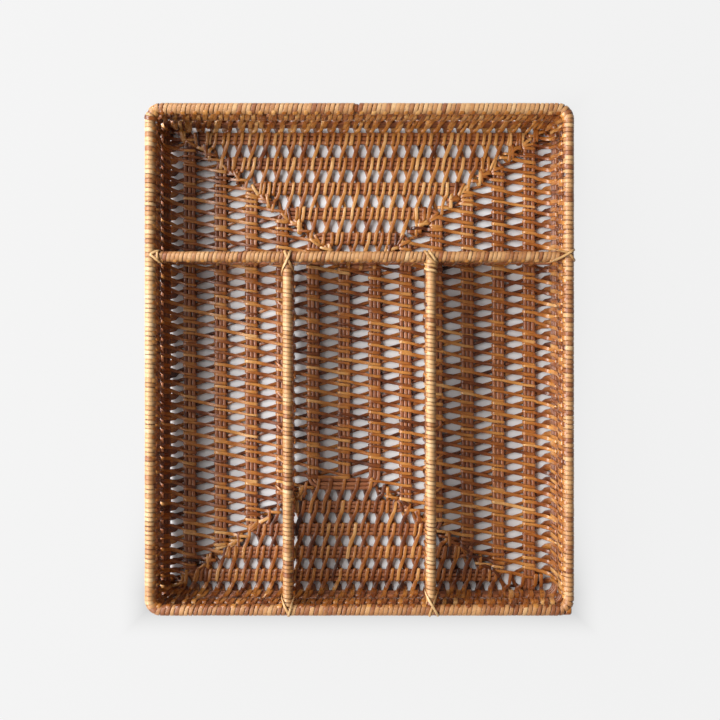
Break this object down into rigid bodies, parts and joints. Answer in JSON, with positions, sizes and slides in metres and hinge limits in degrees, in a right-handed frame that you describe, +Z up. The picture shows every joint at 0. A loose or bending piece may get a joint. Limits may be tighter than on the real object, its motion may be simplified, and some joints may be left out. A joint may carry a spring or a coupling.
{
  "type": "flatware tray",
  "caption": "Coiled rattan flatware tray with upright walls, a wrapped rim, one wide cross compartment and three long compartments",
  "frame": {"origin": "centre of the footprint, on the plane that the tray rests on", "axes": "+X to the right and +Y away along the long side as seen in the picture, with the wide cross compartment towards +Y, +Z up out of the open top"},
  "size_m": [0.33, 0.394, 0.057],
  "materials": {
    "rattan_rod": "satin varnish over split rattan",
    "weaving_cane": "glossy flat cane",
    "binding_cane": "glossy flat cane, paler"
  },
  "bodies": {
    "root": {"base_course_rod_lower": "rattan_rod", "base_course_rod_middle": "rattan_rod", "base_course_rod_upper": "rattan_rod", "cross_divider_foot_rod": "rattan_rod", "cross_divider_lower_cane": "weaving_cane", "cross_divider_lower_rod": "rattan_rod", "cross_divider_middle_rod": "rattan_rod", "cross_divider_rail_core": "rattan_rod", "cross_divider_rail_wrap": "binding_cane", "cross_divider_upper_cane": "weaving_cane", "cross_divider_upper_rod": "rattan_rod", "floor_cane_1": "weaving_cane", "floor_cane_2": "weaving_cane", "floor_cane_3": "weaving_cane", "floor_cane_4": "weaving_cane", "floor_cane_5": "weaving_cane", "floor_cane_seam": "weaving_cane", "floor_coil_rod_inner": "rattan_rod", "floor_coil_rod_middle": "rattan_rod", "floor_coil_rod_outer": "rattan_rod", "foot_cane_back": "weaving_cane", "foot_cane_front": "weaving_cane", "foot_cane_left": "weaving_cane", "foot_cane_right": "weaving_cane", "lashing_left_crossing": "binding_cane", "lashing_left_front": "binding_cane", "lashing_left_rim": "binding_cane", "lashing_right_crossing": "binding_cane", "lashing_right_front": "binding_cane", "lashing_right_rim": "binding_cane", "left_divider_foot_rod": "rattan_rod", "left_divider_lower_cane": "weaving_cane", "left_divider_lower_rod": "rattan_rod", "left_divider_middle_rod": "rattan_rod", "left_divider_rail_core": "rattan_rod", "left_divider_rail_wrap": "binding_cane", "left_divider_upper_cane": "weaving_cane", "left_divider_upper_rod": "rattan_rod", "middle_course_rod_lower": "rattan_rod", "middle_course_rod_middle": "rattan_rod", "middle_course_rod_upper": "rattan_rod", "right_divider_foot_rod": "rattan_rod", "right_divider_lower_cane": "weaving_cane", "right_divider_lower_rod": "rattan_rod", "right_divider_middle_rod": "rattan_rod", "right_divider_rail_core": "rattan_rod", "right_divider_rail_wrap": "binding_cane", "right_divider_upper_cane": "weaving_cane", "right_divider_upper_rod": "rattan_rod", "rim_core": "rattan_rod", "rim_wrap_back": "binding_cane", "rim_wrap_front": "binding_cane", "rim_wrap_left": "binding_cane", "rim_wrap_right": "binding_cane", "tie_cane_left": "weaving_cane", "tie_cane_right": "weaving_cane", "wall_cane_lower": "weaving_cane", "wall_cane_upper": "weaving_cane"}
  },
  "joints": []
}
